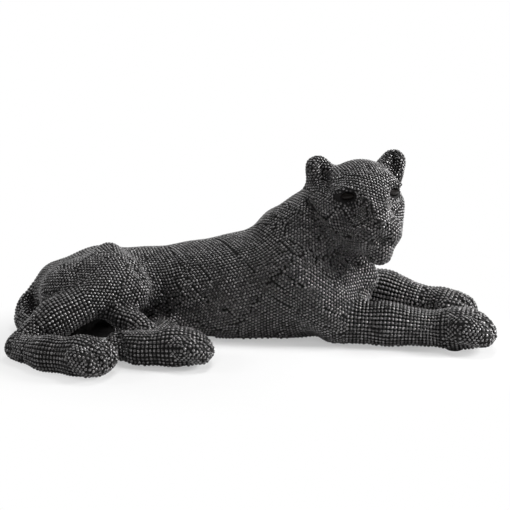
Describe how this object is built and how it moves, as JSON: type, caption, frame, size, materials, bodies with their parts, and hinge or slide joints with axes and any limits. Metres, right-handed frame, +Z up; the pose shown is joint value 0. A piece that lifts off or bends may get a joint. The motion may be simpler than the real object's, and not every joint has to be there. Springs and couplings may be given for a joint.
{
  "type": "figural television lamp",
  "caption": "Reclining big-cat figure with a studded skin, hollow, with a hidden lamp, rotary switch and wiring behind an opening in its rear flank.",
  "frame": {"origin": "centre of the footprint, on the surface the felt pads stand on", "axes": "+Z up, +X along the body towards the forepaws, +Y towards the wall behind, so the face looks towards -Y"},
  "size_m": [0.5168, 0.2728, 0.1975],
  "materials": {
    "bakelite": "moulded",
    "blue": "insulation",
    "brass": "satin",
    "brown": "insulation",
    "ceramic": "glazed porcelain",
    "eye": "polished black",
    "felt": "wool felt",
    "glass": "clear",
    "nylon": "moulded",
    "resin": "semi-gloss charcoal",
    "rubber": "matt",
    "tungsten": "drawn wire",
    "zinc": "zinc plated"
  },
  "bodies": {
    "figure": {"base_plate": "zinc", "base_screw_1": "zinc", "base_screw_2": "zinc", "base_screw_3": "zinc", "base_screw_4": "zinc", "body_casting": "resin", "bracket_nut_1": "zinc", "bracket_nut_2": "zinc", "bracket_screw_1": "zinc", "bracket_screw_2": "zinc", "bulb_cap": "brass", "bulb_filament": "tungsten", "bulb_glass": "glass", "bulb_stem": "glass", "centre_contact": "brass", "cord_grommet": "rubber", "felt_pad_1": "felt", "felt_pad_2": "felt", "felt_pad_3": "felt", "felt_pad_4": "felt", "felt_pad_5": "felt", "felt_pad_6": "felt", "head_casting": "resin", "lamp_bracket": "zinc", "lampholder_cap": "brass", "lampholder_insulator": "ceramic", "lampholder_shell": "brass", "lead_live": "brown", "lead_neutral": "blue", "left_eye": "eye", "nipple_locknut": "zinc", "right_eye": "eye", "screw_sleeve": "brass", "terminal_block": "nylon", "terminal_fixing_screw": "zinc", "terminal_screw_1": "brass", "terminal_screw_2": "brass", "terminal_screw_3": "brass", "terminal_screw_4": "brass", "threaded_nipple": "zinc"},
    "switch": {"switch_shaft": "brass", "switch_knob": "bakelite"}
  },
  "joints": [
    {"name": "switch_turn", "type": "hinge", "parent": "figure", "child": "switch", "pos_m": [-0.02503, 0.07632, 0.05309], "axis": [0, 1, 0], "continuous": true}
  ]
}
